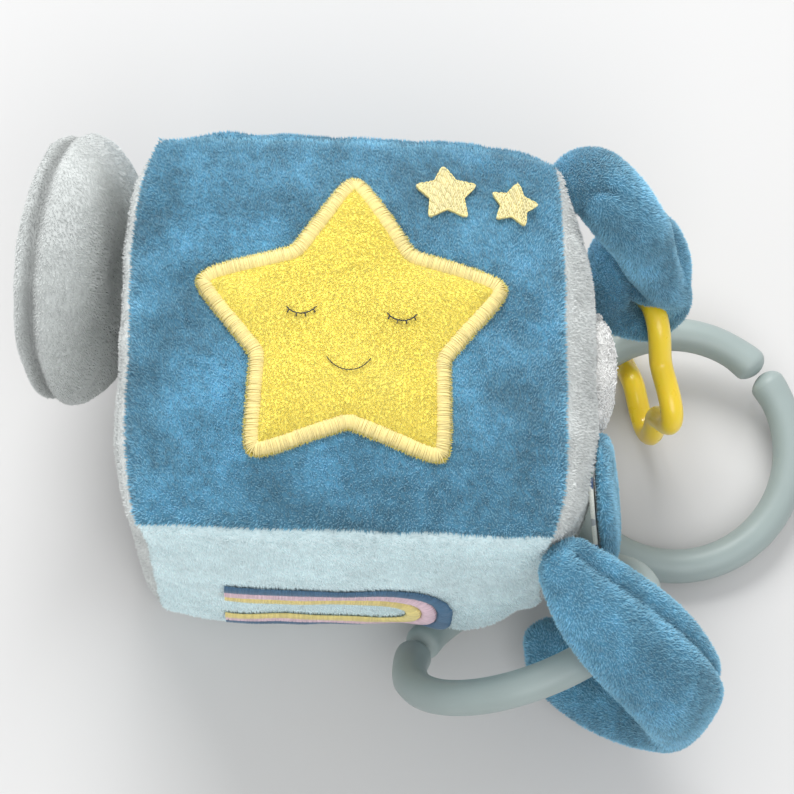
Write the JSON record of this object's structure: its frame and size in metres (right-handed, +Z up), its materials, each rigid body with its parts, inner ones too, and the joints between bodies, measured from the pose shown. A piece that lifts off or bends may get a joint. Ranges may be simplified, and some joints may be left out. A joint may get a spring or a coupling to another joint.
{
  "type": "soft activity block",
  "caption": "Soft stuffed fabric block with a padded star, an ear, a lift-up flap, fabric straps, link rings and a star-shaped teether.",
  "frame": {"origin": "middle of the block's flat underside, on the surface that it stands on", "axes": "+Z up, +X towards the side with the flap and the teether, -Y towards the front with the rainbow"},
  "size_m": [0.216, 0.1565, 0.1079],
  "materials": {
    "plush_blue": "short-pile plush, denim blue",
    "plush_aqua": "short-pile plush, pale aqua",
    "plush_grey": "short-pile plush, light grey",
    "plush_yellow": "short-pile plush, bright yellow",
    "thread_yellow": "satin stitching, pale yellow",
    "thread_dark": "satin stitching, near black",
    "thread_pink": "satin stitching, pink",
    "thread_blue": "satin stitching, dark blue",
    "sherpa_white": "curly fleece, off white",
    "lining_print": "woven printed cotton",
    "film_clear": "thin crackling film",
    "filling_white": "loose fibre filling, white",
    "ring_grey": "satin moulded plastic, grey green",
    "teether_yellow": "smooth translucent plastic, amber yellow",
    "rattle_plastic": "plain moulded plastic",
    "bead_plastic": "plain moulded plastic"
  },
  "bodies": {
    "block": {"top_panel": "plush_blue", "back_panel": "plush_blue", "front_panel": "plush_aqua", "bottom_panel": "plush_aqua", "left_panel": "plush_grey", "right_panel": "plush_grey", "ear_neck": "plush_grey", "star_patch": "plush_yellow", "star_border": "thread_yellow", "small_star_left": "thread_yellow", "small_star_right": "thread_yellow", "rainbow_yellow": "thread_yellow", "eye_left": "thread_dark", "eye_right": "thread_dark", "smile": "thread_dark", "rainbow_pink": "thread_pink", "rainbow_blue": "thread_blue", "cloud_patch": "sherpa_white", "wadding_upper": "filling_white", "wadding_lower": "filling_white", "rattle_shell_upper": "rattle_plastic", "rattle_shell_lower": "rattle_plastic", "rattle_bead_1": "bead_plastic", "rattle_bead_2": "bead_plastic", "rattle_bead_3": "bead_plastic"},
    "ear": {"ear_outer_panel": "plush_grey", "ear_inner_panel": "plush_grey", "ear_wadding": "filling_white"},
    "flap": {"flap_lining": "lining_print", "flap_film": "film_clear", "flap_plush": "plush_blue"},
    "strap": {"knotted_strap": "plush_blue"},
    "teether": {"star_teether": "teether_yellow"},
    "side_link": {"side_ring": "ring_grey"},
    "loop": {"loop_strap": "plush_blue"},
    "front_link": {"front_ring": "ring_grey"}
  },
  "joints": [
    {"name": "ear_flop", "type": "hinge", "parent": "block", "child": "ear", "pos_m": [-0.05883, 0.02858, 0.01726], "axis": [0.105, 0.9945, 0.0028], "range_deg": [-25, 3], "stiffness_Nm_per_rad": 0.3},
    {"name": "flap_lift", "type": "hinge", "parent": "block", "child": "flap", "pos_m": [0.05916, -0.0235, 0.07928], "axis": [0, 0.9695, -0.2449], "range_deg": [-100, 0]},
    {"name": "strap_lift", "type": "hinge", "parent": "block", "child": "strap", "pos_m": [0.0566, 0.0445, 0.08792], "axis": [0, 1, 0], "range_deg": [-35, 0], "stiffness_Nm_per_rad": 0.05},
    {"name": "teether_swing", "type": "hinge", "parent": "strap", "child": "teether", "pos_m": [0.08064, 0.02673, 0.04962], "axis": [-0.27, 0.9501, -0.1563], "range_deg": [-10, 0.5]},
    {"name": "side_ring_turn", "type": "hinge", "parent": "teether", "child": "side_link", "pos_m": [0.0921, -0.0006, 0.00912], "axis": [0, -0.1288, 0.9917], "continuous": true},
    {"name": "loop_swing", "type": "hinge", "parent": "block", "child": "loop", "pos_m": [0.05222, -0.052, 0.05], "axis": [0, 0, 1], "range_deg": [-3, 12], "stiffness_Nm_per_rad": 0.1},
    {"name": "front_ring_turn", "type": "hinge", "parent": "loop", "child": "front_link", "pos_m": [0.0486, -0.0585, 0.03306], "axis": [-0.3999, 0.7589, 0.5139], "continuous": true}
  ]
}
